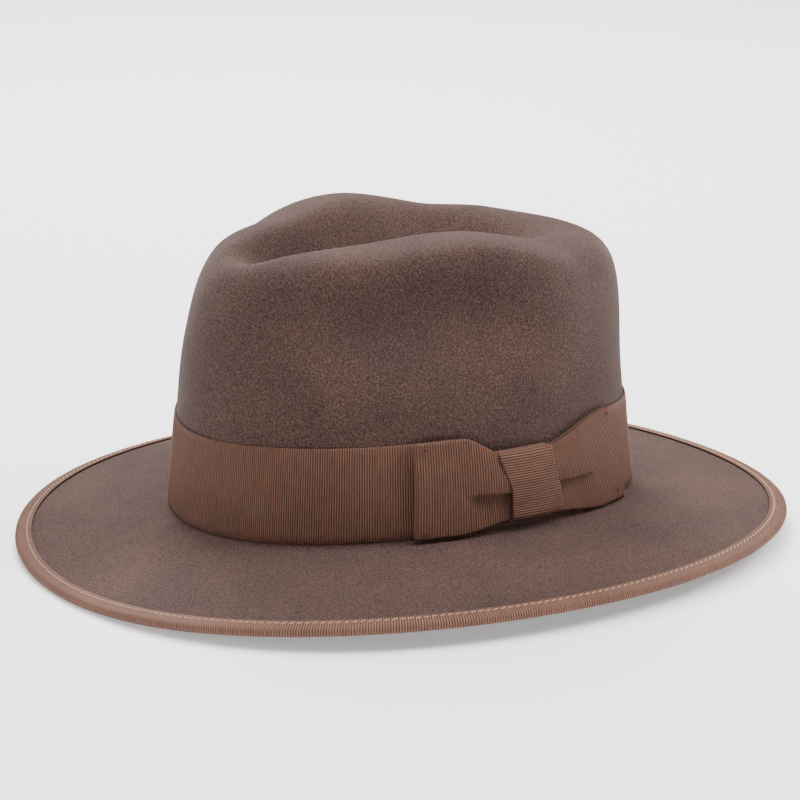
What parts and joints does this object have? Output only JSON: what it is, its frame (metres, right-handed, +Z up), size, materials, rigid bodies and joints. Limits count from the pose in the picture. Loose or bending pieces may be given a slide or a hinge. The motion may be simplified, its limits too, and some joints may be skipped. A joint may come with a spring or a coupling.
{
  "type": "fedora hat",
  "caption": "wide-brim felt fedora with a centre-dent pinched crown, bound brim edge, grosgrain band with a flat side bow, leather sweatband and satin lining",
  "frame": {"origin": "on the ground plane under the middle of the brim oval, at the lowest point of the bound brim edge", "axes": "+Z up through the crown, -Y the front of the hat, +X the wearer's left, which is the side with the bow"},
  "size_m": [0.3028, 0.3335, 0.1375],
  "materials": {
    "felt": "matte",
    "grosgrain": "satin",
    "gold_thread": "satin",
    "red_thread": "satin",
    "sweatband_leather": "satin",
    "reed": "matte",
    "cotton_tape": "matte",
    "leather_thread": "satin",
    "satin_bow": "satin",
    "satin_lining": "satin",
    "piping": "satin",
    "clear_shield": "gloss"
  },
  "bodies": {
    "root": {"felt_hood": "felt", "brim_binding": "grosgrain", "brim_binding_stitches": "gold_thread", "hatband": "grosgrain", "bow_front_leaf": "grosgrain", "bow_rear_leaf": "grosgrain", "bow_knot": "grosgrain", "bow_tack_stitches": "red_thread", "sweatband": "sweatband_leather", "sweatband_reed": "reed", "sweatband_reed_tape": "cotton_tape", "sweatband_stitches": "leather_thread", "sweatband_rear_bow": "satin_bow", "lining_sidewall": "satin_lining", "lining_tip": "satin_lining", "lining_piping": "piping", "tip_shield": "clear_shield"}
  },
  "joints": []
}
